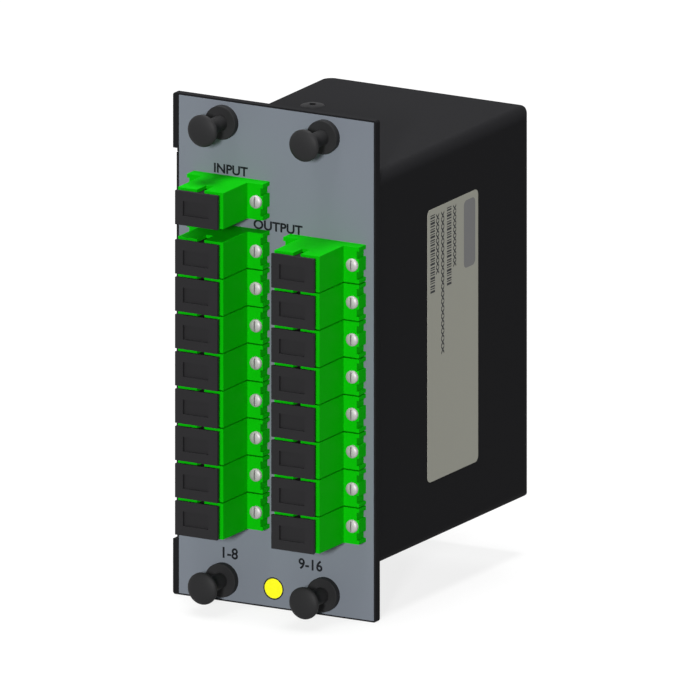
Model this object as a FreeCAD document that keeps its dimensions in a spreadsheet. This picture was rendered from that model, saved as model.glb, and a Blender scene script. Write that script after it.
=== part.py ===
import FreeCAD, Part
import math
import operator
import os

import Sketcher

# Fibre splitter cassette, one input port and two columns of output ports on a black faceplate.
# Millimetres. The origin is the centre of the four push latches, on the faceplate's back face.
# X runs to the right as the ports are faced, Y runs back into the housing and Z runs up.

DRIVING_SIZES = [
    # Faceplate, left wall and back wall, folded from one sheet
    ("plate_width", 58.4, "faceplate across, two card slots wide"),
    ("plate_height", 130.0, "faceplate, bottom edge to top edge"),
    ("plate_thick", 2.0, "sheet that the faceplate and its walls are folded from"),
    ("plate_corner", 0.7, "radius of the faceplate's corners"),
    ("tab_height", 14.35, "latch tab at each end of the faceplate"),
    ("relief_depth", 3.0, "bend relief cut in from the left edge"),
    ("bend_inner", 0.5, "inside radius of the sheet's bends"),
    ("return_width", 9.0, "back wall's return flange inside the cover"),
    # Housing
    ("box_height", 101.4, "housing behind the faceplate, outside"),
    ("box_depth", 76.8, "housing's depth behind the faceplate"),
    ("cover_thick", 1.5, "sheet of the folded cover"),
    ("cover_bend", 3.0, "outside radius of the cover's two long bends"),
    ("cover_fit", 0.15, "clearance between the cover and the walls inside it"),
    ("plan_corner", 2.5, "rounding of the cover's back corners seen from above"),
    ("screw_tab_width", 16.5, "inner tab under the cover, from the left wall's outer face"),
    ("screw_tab_length", 22.0, "inner tab along the housing"),
    ("tab_relief", 1.0, "slit at each end of an inner tab's bend"),
    ("cover_screw_inset", 10.4, "cover screw from the left side"),
    ("cover_screw_back", 50.7, "cover screw behind the faceplate"),
    ("cover_screw_radius", 1.5, "cover screw's shank"),
    ("cover_screw_head", 3.1, "cover screw's flat head, radius"),
    ("cover_screw_sink", 1.25, "height of the screw's cone"),
    ("cover_screw_length", 5.0, "cover screw, top of head to tip"),
    ("cover_screw_recess", 1.0, "corner radius of the screw's hexagon recess"),
    ("cover_screw_flush", 0.05, "top of the screw's head below the cover's face"),
    ("hole_clearance", 0.1, "radial play of a screw in its hole"),
    # Printed overlay and side label
    ("overlay_thick", 0.2, "printed overlay on the faceplate"),
    ("overlay_left", 1.85, "bare margin left of the overlay"),
    ("overlay_right", 0.57, "bare margin right of the overlay"),
    ("overlay_end", 0.45, "bare margin above and below the overlay"),
    ("label_thick", 0.1, "sticker on the cover's right side"),
    ("label_start", 24.2, "sticker's front edge behind the faceplate"),
    ("label_width", 25.7, "sticker front to back"),
    ("label_height", 70.6, "sticker bottom to top"),
    ("label_middle", 0.36, "sticker's middle above the cassette's middle"),
    ("label_corner", 1.5, "sticker's corner radius"),
    # Places of the ports
    ("column_inset", 17.05, "first column's middle from the faceplate's left edge"),
    ("column_end", 13.66, "second column's middle from the faceplate's right edge"),
    ("row_pitch", 9.666, "output row to output row"),
    ("first_row", 28.06, "top output row above the cassette's middle"),
    ("input_row", 40.84, "input port above the cassette's middle"),
    ("window_gap", 0.1, "play of an adapter in its window"),
    # Adapters
    ("adapter_width", 13.0, "adapter body across"),
    ("adapter_height", 9.3, "adapter body and flange, bottom to top"),
    ("rear_height", 8.9, "adapter body behind its flange, bottom to top"),
    ("adapter_front", 12.3, "adapter body in front of its flange"),
    ("adapter_rear", 12.2, "adapter body behind its flange"),
    ("flange_width", 21.8, "flange end to end"),
    ("flange_thick", 3.6, "flange front to back"),
    ("flange_notch", 0.65, "depth of the notches in the flange's ends"),
    ("flange_middle", 3.4, "height of the flange end's middle land"),
    ("flange_lip", 1.0, "height of the flange end's top and bottom lands"),
    ("socket_width", 9.2, "connector socket across"),
    ("socket_height", 7.6, "connector socket, bottom to top"),
    ("socket_depth", 10.2, "socket from its mouth to the middle web"),
    ("sleeve_bore", 1.65, "radius of the bore through the middle web"),
    ("key_width", 2.1, "key slot across"),
    ("key_length", 4.75, "key slot from the socket's mouth"),
    ("screw_spacing", 18.1, "flange screw to flange screw"),
    ("screw_radius", 1.0, "flange screw's shank"),
    ("screw_head_radius", 1.68, "flange screw's round head"),
    ("screw_head_height", 1.0, "flange screw's head"),
    ("screw_reach", 0.9, "flange screw past the faceplate's back"),
    ("sleeve_wall", 0.35, "alignment sleeve's wall"),
    ("sleeve_play", 0.04, "play of the sleeve in its bore"),
    ("sleeve_length", 11.4, "alignment sleeve end to end"),
    # Dust caps
    ("cap_width", 12.2, "dust cap's face across"),
    ("cap_height", 8.5, "dust cap's face, bottom to top"),
    ("cap_thick", 0.8, "dust cap's face plate"),
    ("cap_stand", 1.55, "face plate's back in front of the adapter's mouth"),
    ("cap_drop", 0.22, "face plate's middle below the socket's middle"),
    ("cap_neck_width", 9.8, "neck that stops on the socket's rim"),
    ("cap_neck_height", 6.8, "neck, bottom to top"),
    ("cap_plug_depth", 4.0, "plug inside the socket"),
    ("cap_play", 0.15, "play of a plug in its socket"),
    ("cap_rest_gap", 0.1, "neck's back in front of the socket's rim"),
    ("cap_slot_width", 0.7, "moulded slot in the face"),
    ("cap_slot_height", 3.9, "moulded slot, bottom to top"),
    ("cap_slot_depth", 0.4, "moulded slot's depth"),
    ("cap_slot_inset", 2.65, "moulded slot from the face's left edge"),
    # Push latches
    ("latch_end", 5.7, "latch's middle from the faceplate's end; across, latches stand one slot apart"),
    ("latch_hole_gap", 0.1, "play of a latch barrel in the faceplate"),
    ("collar_radius", 4.35, "latch collar on the faceplate's front"),
    ("collar_thick", 1.8, "latch collar"),
    ("collar_round", 0.15, "rounding of the collar's front edge"),
    ("barrel_outer", 3.1, "latch barrel's radius through the faceplate"),
    ("barrel_length", 8.4, "latch barrel behind the faceplate"),
    ("barrel_taper", 0.35, "barrel's tail, less in radius"),
    ("ridge_radius", 3.3, "ridge that keeps a latch in the faceplate"),
    ("ridge_start", 0.1, "ridge's front behind the faceplate"),
    ("ridge_length", 0.8, "ridge along the barrel"),
    ("chamber_radius", 2.5, "room for the plunger's bead inside the barrel"),
    ("leg_slit", 0.8, "slit between the barrel's legs"),
    ("leg_root", 1.6, "start of the slits behind the faceplate"),
    ("chamber_start", 1.0, "start of the bead's room behind the faceplate"),
    ("stem_radius", 2.0, "plunger's stem"),
    ("stem_play", 0.05, "running play of the stem in the collar"),
    ("bead_radius", 2.4, "plunger's bead"),
    ("bead_length", 1.2, "plunger's bead along the stem"),
    ("tip_radius", 1.7, "plunger's tip behind its bead"),
    ("head_radius", 4.15, "plunger's head"),
    ("head_rim", 0.3, "plunger's head at its rim"),
    ("head_dome", 1.2, "crown of the head above its rim"),
    ("latch_travel", 8.5, "plunger's stroke from pulled out to pushed home"),
    # Inside the housing
    ("plug_width", 8.9, "inner plug across"),
    ("plug_height", 7.3, "inner plug, bottom to top"),
    ("plug_inserted", 7.4, "inner plug inside the rear socket"),
    ("plug_exposed", 12.0, "inner plug behind the adapter"),
    ("boot_radius", 1.9, "plug's boot"),
    ("boot_length", 9.0, "plug's boot, front to back"),
    ("chip_length", 60.0, "splitter chip's steel case, upright"),
    ("chip_width", 7.0, "splitter chip's case, front to back"),
    ("chip_thick", 4.0, "splitter chip's case off the wall"),
    ("chip_cap", 3.0, "moulded end on the splitter chip"),
    ("clip_wall", 0.8, "clip's sheet"),
    ("clip_play", 0.1, "play of a clipped piece under its clip"),
    ("clip_length", 6.0, "clip, upright"),
    ("clip_spread", 40.0, "chip clip to chip clip"),
    ("coil_radius", 15.5, "middle of the fibre coil's bends"),
    ("coil_straight", 46.0, "coil's straight runs, upright"),
    ("coil_flat", 2.0, "coil's short straight run between two bends"),
    ("coil_width", 3.4, "coil's bundle, seen from the side"),
    ("coil_thick", 3.6, "coil's bundle off the wall"),
    ("coil_back_gap", 3.0, "coil in front of the back wall"),
]

OUTPUT_ROWS = 8
OUTPUT_COLUMNS = 2


class Size:
    """A length worked out from the sheet, held as a number and as the expression that binds it."""

    def __init__(self, number, text):
        self.number = number
        self.text = text

    def joined(self, other, sign, work, swap=False):
        if not isinstance(other, Size):
            other = Size(float(other), repr(float(other)))
        first, second = (other, self) if swap else (self, other)
        number = work(first.number, second.number)
        return Size(number, "(" + first.text + " " + sign + " " + second.text + ")")

    def __add__(self, other):
        return self.joined(other, "+", operator.add)

    def __radd__(self, other):
        return self.joined(other, "+", operator.add, True)

    def __sub__(self, other):
        return self.joined(other, "-", operator.sub)

    def __rsub__(self, other):
        return self.joined(other, "-", operator.sub, True)

    def __mul__(self, other):
        return self.joined(other, "*", operator.mul)

    def __rmul__(self, other):
        return self.joined(other, "*", operator.mul, True)

    def __truediv__(self, other):
        return self.joined(other, "/", operator.truediv)

    def __neg__(self):
        return 0 - self


class Sheet:
    """The spreadsheet of driving sizes; each alias reads as an attribute."""

    def __init__(self, document, rows):
        self.cells = document.addObject("Spreadsheet::Sheet", "Sizes")
        for number, (alias, value, words) in enumerate(rows, start=1):
            self.cells.set("A%d" % number, words)
            self.cells.set("B%d" % number, str(value))
            self.cells.setAlias("B%d" % number, alias)
        document.recompute()

    def __getattr__(self, alias):
        return Size(float(self.cells.get(alias)), "Sizes." + alias)


doc = FreeCAD.newDocument("FibreSplitter")
size = Sheet(doc, DRIVING_SIZES)
subparts = []


def bind(thing, path, length):
    """Bind a property, such as Length or Placement.Base.x, to the sheet."""
    if not isinstance(length, Size):
        length = Size(float(length), repr(float(length)))
    thing.setExpression(path, length.text)


def bind_place(thing, x=0.0, y=0.0, z=0.0, path="Placement"):
    bind(thing, path + ".Base.x", x)
    bind(thing, path + ".Base.y", y)
    bind(thing, path + ".Base.z", z)


def keep(thing, label):
    """Mark an object as a sub-part; its label names its file."""
    thing.Label = label
    subparts.append(thing)
    return thing


def new_body(name):
    return doc.addObject("PartDesign::Body", name)


def origin_plane(body, role):
    for feature in body.Origin.OriginFeatures:
        if feature.Role == role:
            return feature
    raise RuntimeError("no plane " + role)


class Outline:
    """A sketch on one of a body's own planes, with every point bound to the sheet."""

    def __init__(self, body, name, role, offset=0.0):
        self.sketch = body.newObject("Sketcher::SketchObject", name)
        self.sketch.AttachmentSupport = [(origin_plane(body, role), "")]
        self.sketch.MapMode = "FlatFace"
        bind(self.sketch, "AttachmentOffset.Base.z", offset)

    def pin(self, edge, point, across, up):
        """Bind one point of one edge to its distances from the origin."""
        for kind, length in (("DistanceX", across), ("DistanceY", up)):
            if not isinstance(length, Size):
                length = Size(float(length), repr(float(length)))
            rule = Sketcher.Constraint(kind, -1, 1, edge, point, length.number)
            number = self.sketch.addConstraint(rule)
            self.sketch.renameConstraint(number, "%s_%d_%d" % (kind, edge, point))
            self.sketch.setExpression("Constraints.%s_%d_%d" % (kind, edge, point), length.text)

    def corners(self, points):
        """A closed run of edges along the axes; a corner's third item, if any, is the radius of its bend."""
        count = len(points)
        runs = []
        bends = []
        for index, point in enumerate(points):
            before = points[index - 1]
            after = points[(index + 1) % count]
            leave = self.trimmed(point, after)
            runs.append([leave, None])
            if len(point) == 3:
                bends.append((index, self.trimmed(point, before), leave, point[2]))
        for index in range(count):
            following = points[(index + 1) % count]
            runs[index][1] = self.trimmed(following, points[index])
        first = self.sketch.GeometryCount
        for start, end in runs:
            self.sketch.addGeometry(Part.LineSegment(flat_vector(start), flat_vector(end)))
        bent = {}
        for index, arrive, leave, radius in bends:
            bent[index] = self.bend(points[index], arrive, leave, radius)
        for index, (start, end) in enumerate(runs):
            following = (index + 1) % count
            self.pin(first + index, 1, *start)
            if following in bent:
                self.pin(first + index, 2, *end)
                arc, arrive_end, leave_end = bent[following]
                self.join(first + index, 2, arc, arrive_end)
                self.join(first + following, 1, arc, leave_end)
            else:
                self.join(first + index, 2, first + following, 1)
        return self

    @staticmethod
    def trimmed(corner, other):
        """The point where a corner's bend meets the edge towards the other corner."""
        if len(corner) == 2:
            return corner[0], corner[1]
        x, y, radius = corner
        run_x = number_of(other[0]) - number_of(x)
        run_y = number_of(other[1]) - number_of(y)
        if abs(run_x) > abs(run_y):
            return x + radius * math.copysign(1, run_x), y
        return x, y + radius * math.copysign(1, run_y)

    def bend(self, corner, arrive, leave, radius):
        """A quarter circle inside a corner; gives its number and which of its ends meets which edge."""
        middle = flat_vector(arrive) + flat_vector(leave) - flat_vector(corner)
        towards = flat_vector(arrive) - middle
        away = flat_vector(leave) - middle
        leftwards = towards.x * away.y - towards.y * away.x > 0
        opening = towards if leftwards else away
        angle = math.atan2(opening.y, opening.x)
        circle = Part.Circle(middle, FreeCAD.Vector(0, 0, 1), number_of(radius))
        number = self.sketch.GeometryCount
        self.sketch.addGeometry(Part.ArcOfCircle(circle, angle, angle + math.pi / 2))
        self.radius(number, radius)
        return (number, 1, 2) if leftwards else (number, 2, 1)

    def join(self, first, first_end, second, second_end):
        self.sketch.addConstraint(
            Sketcher.Constraint("Coincident", first, first_end, second, second_end))

    def rectangle(self, left, right, low, high):
        return self.corners([(left, low), (right, low), (right, high), (left, high)])

    def circle(self, x, y, radius):
        edge = self.sketch.GeometryCount
        middle = FreeCAD.Vector(number_of(x), number_of(y), 0)
        self.sketch.addGeometry(Part.Circle(middle, FreeCAD.Vector(0, 0, 1), number_of(radius)))
        self.pin(edge, 3, x, y)
        self.radius(edge, radius)
        return self

    def radius(self, edge, length):
        number = self.sketch.addConstraint(Sketcher.Constraint("Radius", edge, number_of(length)))
        self.sketch.renameConstraint(number, "Radius_%d" % edge)
        if isinstance(length, Size):
            self.sketch.setExpression("Constraints.Radius_%d" % edge, length.text)

    def rounded(self, left, right, low, high, radius):
        """A rectangle with the same bend at its four corners."""
        return self.corners([(left, low, radius), (right, low, radius),
                             (right, high, radius), (left, high, radius)])


def number_of(length):
    return length.number if isinstance(length, Size) else float(length)


def flat_vector(point):
    return FreeCAD.Vector(number_of(point[0]), number_of(point[1]), 0)


def pad(body, name, outline, length, backwards=False, both_ways=False):
    feature = body.newObject("PartDesign::Pad", name)
    feature.Profile = outline.sketch
    feature.Reversed = backwards
    feature.Midplane = both_ways
    bind(feature, "Length", length)
    return feature


def pocket(body, name, outline, length, backwards=False, both_ways=False):
    """Backwards cuts along the sketch's own normal."""
    feature = body.newObject("PartDesign::Pocket", name)
    feature.Profile = outline.sketch
    feature.Reversed = backwards
    feature.Midplane = both_ways
    bind(feature, "Length", length)
    return feature


def spin(body, name, outline, kind="PartDesign::Revolution"):
    """A full turn about the sketch's upright axis."""
    feature = body.newObject(kind, name)
    feature.Profile = outline.sketch
    feature.ReferenceAxis = (outline.sketch, ["V_Axis"])
    feature.Angle = 360.0
    return feature


def placed(master, name, x, y, z):
    """The same piece again at another place."""
    again = doc.addObject("Part::Compound", name)
    again.Links = [master]
    bind_place(again, x, y, z)
    return again


def grouped(name, pieces):
    group = doc.addObject("Part::Compound", name)
    group.Links = pieces
    return group


# Places that several pieces share

CUT_PAST = 1.0
PLATE_FRONT = -size.plate_thick
OVERLAY_FRONT = PLATE_FRONT - size.overlay_thick
FLANGE_FRONT = OVERLAY_FRONT - size.flange_thick
MOUTH = FLANGE_FRONT - size.adapter_front
ADAPTER_BACK = OVERLAY_FRONT + size.adapter_rear
LEFT = -size.plate_width / 2
RIGHT = size.plate_width / 2
TAB_EDGE = size.plate_height / 2 - size.tab_height
WALL_TOP = size.box_height / 2 - size.cover_thick - size.cover_fit
BEND_OUTER = size.bend_inner + size.plate_thick
FIRST_COLUMN = LEFT + size.column_inset
COLUMN_PITCH = size.plate_width - size.column_inset - size.column_end
WINDOW_HALF_WIDTH = size.adapter_width / 2 + size.window_gap
WINDOW_HALF_HEIGHT = size.rear_height / 2 + size.window_gap


def column_at(number):
    return FIRST_COLUMN + COLUMN_PITCH * number


def row_at(number):
    return size.first_row - size.row_pitch * number


def port_places():
    """Name ending, x and z of each port, the input first."""
    yield "in", FIRST_COLUMN, size.input_row
    for column in range(OUTPUT_COLUMNS):
        for row in range(OUTPUT_ROWS):
            yield "out_%02d" % (column * OUTPUT_ROWS + row + 1), column_at(column), row_at(row)


def latch_places():
    for number, (side, end) in enumerate([(-1, 1), (1, 1), (-1, -1), (1, -1)], start=1):
        yield number, size.plate_width / 4 * side, (size.plate_height / 2 - size.latch_end) * end


def add_windows(outline):
    """The openings that the adapters pass through, the same in the faceplate and its overlay."""
    outline.rectangle(FIRST_COLUMN - WINDOW_HALF_WIDTH, FIRST_COLUMN + WINDOW_HALF_WIDTH,
                      size.input_row - WINDOW_HALF_HEIGHT, size.input_row + WINDOW_HALF_HEIGHT)
    for column in range(OUTPUT_COLUMNS):
        outline.rectangle(column_at(column) - WINDOW_HALF_WIDTH, column_at(column) + WINDOW_HALF_WIDTH,
                          row_at(OUTPUT_ROWS - 1) - WINDOW_HALF_HEIGHT, row_at(0) + WINDOW_HALF_HEIGHT)
    return outline


def add_latch_holes(outline):
    for _, x, z in latch_places():
        outline.circle(x, z, size.barrel_outer + size.latch_hole_gap)
    return outline


def add_screw_holes(outline):
    for _, x, z in port_places():
        for side in (-1, 1):
            outline.circle(x + size.screw_spacing / 2 * side, z, size.screw_radius + size.hole_clearance)
    return outline


def make_chassis():
    """Faceplate, left wall and back wall in one folded sheet, with its bends, reliefs and tabs."""
    body = new_body("Chassis")
    return_right = RIGHT - size.cover_thick - size.cover_fit
    inner_left = LEFT + size.plate_thick
    inner_back = size.box_depth - size.plate_thick
    fold = Outline(body, "FoldOutline", "XY_Plane").corners([
        (LEFT, PLATE_FRONT, BEND_OUTER), (LEFT + BEND_OUTER + CUT_PAST, PLATE_FRONT),
        (LEFT + BEND_OUTER + CUT_PAST, 0.0), (inner_left, 0.0, size.bend_inner),
        (inner_left, inner_back, size.bend_inner),
        (return_right - size.plate_thick, inner_back, size.bend_inner),
        (return_right - size.plate_thick, size.box_depth - size.return_width),
        (return_right, size.box_depth - size.return_width), (return_right, size.box_depth, BEND_OUTER),
        (LEFT, size.box_depth, BEND_OUTER)])
    pad(body, "Fold", fold, WALL_TOP * 2, both_ways=True)

    end = size.plate_height / 2
    face = Outline(body, "FaceOutline", "XZ_Plane").corners([
        (LEFT, end, size.plate_corner), (LEFT, TAB_EDGE),
        (LEFT + size.relief_depth, TAB_EDGE), (LEFT + size.relief_depth, WALL_TOP),
        (LEFT + BEND_OUTER, WALL_TOP), (LEFT + BEND_OUTER, -WALL_TOP),
        (LEFT + size.relief_depth, -WALL_TOP), (LEFT + size.relief_depth, -TAB_EDGE),
        (LEFT, -TAB_EDGE), (LEFT, -end, size.plate_corner),
        (RIGHT, -end, size.plate_corner), (RIGHT, end, size.plate_corner)])
    pad(body, "Face", face, size.plate_thick)

    # The tabs that the cover is screwed to are bent in from the left wall's top and bottom edges
    tab_front = size.cover_screw_back - size.screw_tab_length / 2
    tab_root = BEND_OUTER + size.bend_inner
    slits = Outline(body, "TabSlits", "YZ_Plane", LEFT)
    for start in (tab_front - size.tab_relief, tab_front + size.screw_tab_length):
        for side in (-1, 1):
            slits.rectangle(start, start + size.tab_relief,
                            (WALL_TOP - tab_root) * side, (WALL_TOP + CUT_PAST) * side)
    pocket(body, "TabSlitCut", slits, size.plate_thick + CUT_PAST, backwards=True)
    for name, side in (("Top", 1), ("Bottom", -1)):
        gap = Outline(body, name + "TabRoom", "YZ_Plane", LEFT)
        gap.rectangle(tab_front, tab_front + size.screw_tab_length,
                      (WALL_TOP - tab_root) * side, (WALL_TOP + CUT_PAST) * side)
        pocket(body, name + "TabRoomCut", gap, size.plate_thick + CUT_PAST, backwards=True)
        tab = Outline(body, name + "TabOutline", "XZ_Plane", -tab_front).corners([
            (LEFT, (WALL_TOP - tab_root) * side), (LEFT, WALL_TOP * side, BEND_OUTER),
            (LEFT + size.screw_tab_width, WALL_TOP * side),
            (LEFT + size.screw_tab_width, (WALL_TOP - size.plate_thick) * side),
            (inner_left, (WALL_TOP - size.plate_thick) * side, size.bend_inner),
            (inner_left, (WALL_TOP - tab_root) * side)])
        pad(body, name + "Tab", tab, size.screw_tab_length, backwards=True)
    tab_holes = Outline(body, "TabHoles", "XY_Plane")
    tab_holes.circle(LEFT + size.cover_screw_inset, size.cover_screw_back,
                     size.cover_screw_radius + size.hole_clearance)
    pocket(body, "TabHoleCut", tab_holes, size.box_height, both_ways=True)

    openings = add_windows(Outline(body, "Windows", "XZ_Plane"))
    add_latch_holes(openings)
    add_screw_holes(openings)
    pocket(body, "WindowCut", openings, size.plate_thick * 2, both_ways=True)
    return keep(body, "chassis")


def make_cover():
    """Top, right side and bottom in one folded sheet."""
    body = new_body("Cover")
    top = size.box_height / 2
    depth = size.box_depth
    inner_bend = size.cover_bend - size.cover_thick
    fold = Outline(body, "CoverOutline", "XZ_Plane", -size.cover_fit).corners([
        (LEFT, top), (RIGHT, top, size.cover_bend), (RIGHT, -top, size.cover_bend), (LEFT, -top),
        (LEFT, size.cover_thick - top), (RIGHT - size.cover_thick, size.cover_thick - top, inner_bend),
        (RIGHT - size.cover_thick, top - size.cover_thick, inner_bend), (LEFT, top - size.cover_thick)])
    pad(body, "CoverFold", fold, depth - size.cover_fit, backwards=True)

    # Both back corners are rounded as seen from above
    start = depth - size.plan_corner - CUT_PAST
    trim = Outline(body, "PlanTrim", "XY_Plane").corners([
        (LEFT - CUT_PAST, start), (LEFT, start), (LEFT, depth, size.plan_corner),
        (RIGHT, depth, size.plan_corner), (RIGHT, start), (RIGHT + CUT_PAST, start),
        (RIGHT + CUT_PAST, depth + CUT_PAST), (LEFT - CUT_PAST, depth + CUT_PAST)])
    pocket(body, "PlanTrimCut", trim, size.box_height + 2, both_ways=True)
    for name, side in (("Top", 1), ("Bottom", -1)):
        seat = body.newObject("PartDesign::SubtractiveCone", name + "Countersink")
        play = size.hole_clearance
        bind(seat, "Radius1", size.cover_screw_radius + play * 2)
        bind(seat, "Radius2", size.cover_screw_head + play)
        bind(seat, "Height", size.cover_thick)
        seat.Placement = FreeCAD.Placement(
            FreeCAD.Vector(0, 0, 0), FreeCAD.Rotation(FreeCAD.Vector(1, 0, 0), 0 if side > 0 else 180))
        bind_place(seat, LEFT + size.cover_screw_inset, size.cover_screw_back,
                   (top - size.cover_thick) * side)
    return keep(body, "cover")


def make_overlay():
    """Printed sheet on the faceplate, with the same openings."""
    body = new_body("Overlay")
    sheet = Outline(body, "OverlayOutline", "XZ_Plane", size.plate_thick).rectangle(
        LEFT + size.overlay_left, RIGHT - size.overlay_right,
        size.overlay_end - size.plate_height / 2, size.plate_height / 2 - size.overlay_end)
    add_windows(sheet)
    add_latch_holes(sheet)
    add_screw_holes(sheet)
    pad(body, "OverlaySheet", sheet, size.overlay_thick)
    return keep(body, "face_overlay")


def make_label():
    """Sticker on the cover's right side."""
    body = new_body("Label")
    half = size.label_height / 2
    outline = Outline(body, "LabelOutline", "YZ_Plane", RIGHT).rounded(
        size.label_start, size.label_start + size.label_width,
        size.label_middle - half, size.label_middle + half, size.label_corner)
    pad(body, "LabelSheet", outline, size.label_thick)
    return keep(body, "side_label")


def make_adapter():
    """One coupling, its flange's rear face on the local origin."""
    body = new_body("AdapterPattern")
    half_width = size.adapter_width / 2
    half_height = size.adapter_height / 2
    length = size.adapter_front + size.flange_thick + size.adapter_rear
    mouth = size.adapter_front + size.flange_thick
    block = Outline(body, "BlockOutline", "XZ_Plane", mouth).rectangle(
        -half_width, half_width, -half_height, half_height)
    pad(body, "Block", block, mouth, backwards=True)
    rear_block = Outline(body, "RearBlockOutline", "XZ_Plane", size.flange_thick).rectangle(
        -half_width, half_width, -size.rear_height / 2, size.rear_height / 2)
    pad(body, "RearBlock", rear_block, size.flange_thick + size.adapter_rear, backwards=True)

    end = size.flange_width / 2
    notch = end - size.flange_notch
    land = size.flange_middle / 2
    lip = half_height - size.flange_lip
    right_side = [
        (end, -half_height), (end, -lip), (notch, -lip), (notch, -land), (end, -land),
        (end, land), (notch, land), (notch, lip), (end, lip), (end, half_height)]
    left_side = [(-x, z) for x, z in reversed(right_side)]
    flange = Outline(body, "FlangeOutline", "XZ_Plane").corners(right_side + left_side)
    pad(body, "Flange", flange, size.flange_thick)

    front = Outline(body, "FrontSocketOutline", "XZ_Plane", mouth).rectangle(
        -size.socket_width / 2, size.socket_width / 2, -size.socket_height / 2, size.socket_height / 2)
    pocket(body, "FrontSocket", front, size.socket_depth)
    rear = Outline(body, "RearSocketOutline", "XZ_Plane", -size.adapter_rear).rectangle(
        -size.socket_width / 2, size.socket_width / 2, -size.socket_height / 2, size.socket_height / 2)
    pocket(body, "RearSocket", rear, size.socket_depth, backwards=True)
    key = Outline(body, "KeyOutline", "XZ_Plane", mouth).rectangle(
        -size.key_width / 2, size.key_width / 2, 0.0, half_height + CUT_PAST)
    pocket(body, "KeySlot", key, size.key_length)

    web_middle = mouth - length / 2
    bore = Outline(body, "BoreOutline", "XZ_Plane", web_middle).circle(0.0, 0.0, size.sleeve_bore)
    pocket(body, "Bore", bore, length, both_ways=True)
    holes = Outline(body, "FlangeHoles", "XZ_Plane")
    for side in (-1, 1):
        holes.circle(size.screw_spacing / 2 * side, 0.0, size.screw_radius + size.hole_clearance)
    pocket(body, "FlangeHoleCut", holes, size.flange_thick * 3, both_ways=True)
    return body


def make_cap():
    """Dust cap, the adapter's mouth on the local origin."""
    body = new_body("CapPattern")
    plug_width = size.socket_width - size.cap_play * 2
    plug_height = size.socket_height - size.cap_play * 2
    middle = -size.cap_drop
    face = Outline(body, "CapFaceOutline", "XZ_Plane", size.cap_stand).rectangle(
        -size.cap_width / 2, size.cap_width / 2,
        middle - size.cap_height / 2, middle + size.cap_height / 2)
    pad(body, "CapFace", face, size.cap_thick)
    neck = Outline(body, "CapNeckOutline", "XZ_Plane", size.cap_rest_gap).rectangle(
        -size.cap_neck_width / 2, size.cap_neck_width / 2,
        -size.cap_neck_height / 2, size.cap_neck_height / 2)
    pad(body, "CapNeck", neck, size.cap_stand - size.cap_rest_gap)
    plug = Outline(body, "CapPlugOutline", "XZ_Plane", size.cap_rest_gap).rectangle(
        -plug_width / 2, plug_width / 2, -plug_height / 2, plug_height / 2)
    pad(body, "CapPlug", plug, size.cap_plug_depth + size.cap_rest_gap, backwards=True)
    slot_x = size.cap_slot_inset - size.cap_width / 2
    slot = Outline(body, "CapSlotOutline", "XZ_Plane", size.cap_stand + size.cap_thick).rectangle(
        slot_x - size.cap_slot_width / 2, slot_x + size.cap_slot_width / 2,
        middle - size.cap_slot_height / 2, middle + size.cap_slot_height / 2)
    pocket(body, "CapSlot", slot, size.cap_slot_depth)
    return body


def make_flange_screw():
    """Screw with a round head, the seat of its head on the local origin, pointing back."""
    body = new_body("ScrewPattern")
    shank = size.flange_thick + size.overlay_thick + size.plate_thick + size.screw_reach
    outline = Outline(body, "ScrewOutline", "XY_Plane").corners([
        (0.0, -size.screw_head_height), (size.screw_head_radius, -size.screw_head_height),
        (size.screw_head_radius, 0.0), (size.screw_radius, 0.0), (size.screw_radius, shank),
        (0.0, shank)])
    spin(body, "ScrewTurned", outline)
    return body


def make_sleeve():
    """Alignment sleeve, its middle on the local origin."""
    body = new_body("SleevePattern")
    outer = size.sleeve_bore - size.sleeve_play
    ring = Outline(body, "SleeveOutline", "XZ_Plane").circle(0.0, 0.0, outer)
    ring.circle(0.0, 0.0, outer - size.sleeve_wall)
    pad(body, "SleeveTube", ring, size.sleeve_length, both_ways=True)
    return body


def make_inner_plug():
    """Plug pushed into an adapter's rear socket, the adapter's rear end on the local origin."""
    body = new_body("PlugPattern")
    grip = Outline(body, "PlugOutline", "XZ_Plane", size.plug_inserted).rectangle(
        -size.plug_width / 2, size.plug_width / 2, -size.plug_height / 2, size.plug_height / 2)
    pad(body, "PlugGrip", grip, size.plug_inserted + size.plug_exposed, backwards=True)
    return body


def make_boot():
    """Boot behind an inner plug, its root on the local origin."""
    body = new_body("BootPattern")
    stem = Outline(body, "BootOutline", "XZ_Plane").circle(0.0, 0.0, size.boot_radius)
    pad(body, "BootStem", stem, size.boot_length, backwards=True)
    return body


def make_grommet():
    """Latch collar and its four legs, the faceplate's back face on the local origin."""
    body = new_body("GrommetPattern")
    front = OVERLAY_FRONT - size.collar_thick
    bore = size.stem_radius + size.stem_play
    tail = size.barrel_length
    ridge_back = size.ridge_start + size.ridge_length
    outline = Outline(body, "GrommetOutline", "XY_Plane").corners([
        (bore, front), (size.collar_radius, front, size.collar_round), (size.collar_radius, OVERLAY_FRONT),
        (size.barrel_outer, OVERLAY_FRONT), (size.barrel_outer, size.ridge_start),
        (size.ridge_radius, size.ridge_start), (size.barrel_outer, ridge_back),
        (size.barrel_outer, tail - size.barrel_taper * 2),
        (size.barrel_outer - size.barrel_taper, tail), (size.chamber_radius, tail),
        (size.chamber_radius, size.chamber_start), (bore, size.chamber_start)])
    spin(body, "GrommetTurned", outline)
    slits = Outline(body, "LegSlits", "XZ_Plane", -size.leg_root)
    half = size.leg_slit / 2
    reach = size.barrel_outer + CUT_PAST
    slits.corners([
        (-half, -reach), (half, -reach), (half, -half), (reach, -half), (reach, half), (half, half),
        (half, reach), (-half, reach), (-half, half), (-reach, half), (-reach, -half), (-half, -half)])
    slits.sketch.setExpression("AttachmentOffset.Rotation.Angle", "45 deg")
    pocket(body, "LegSlitCut", slits, tail)
    return body


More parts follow.
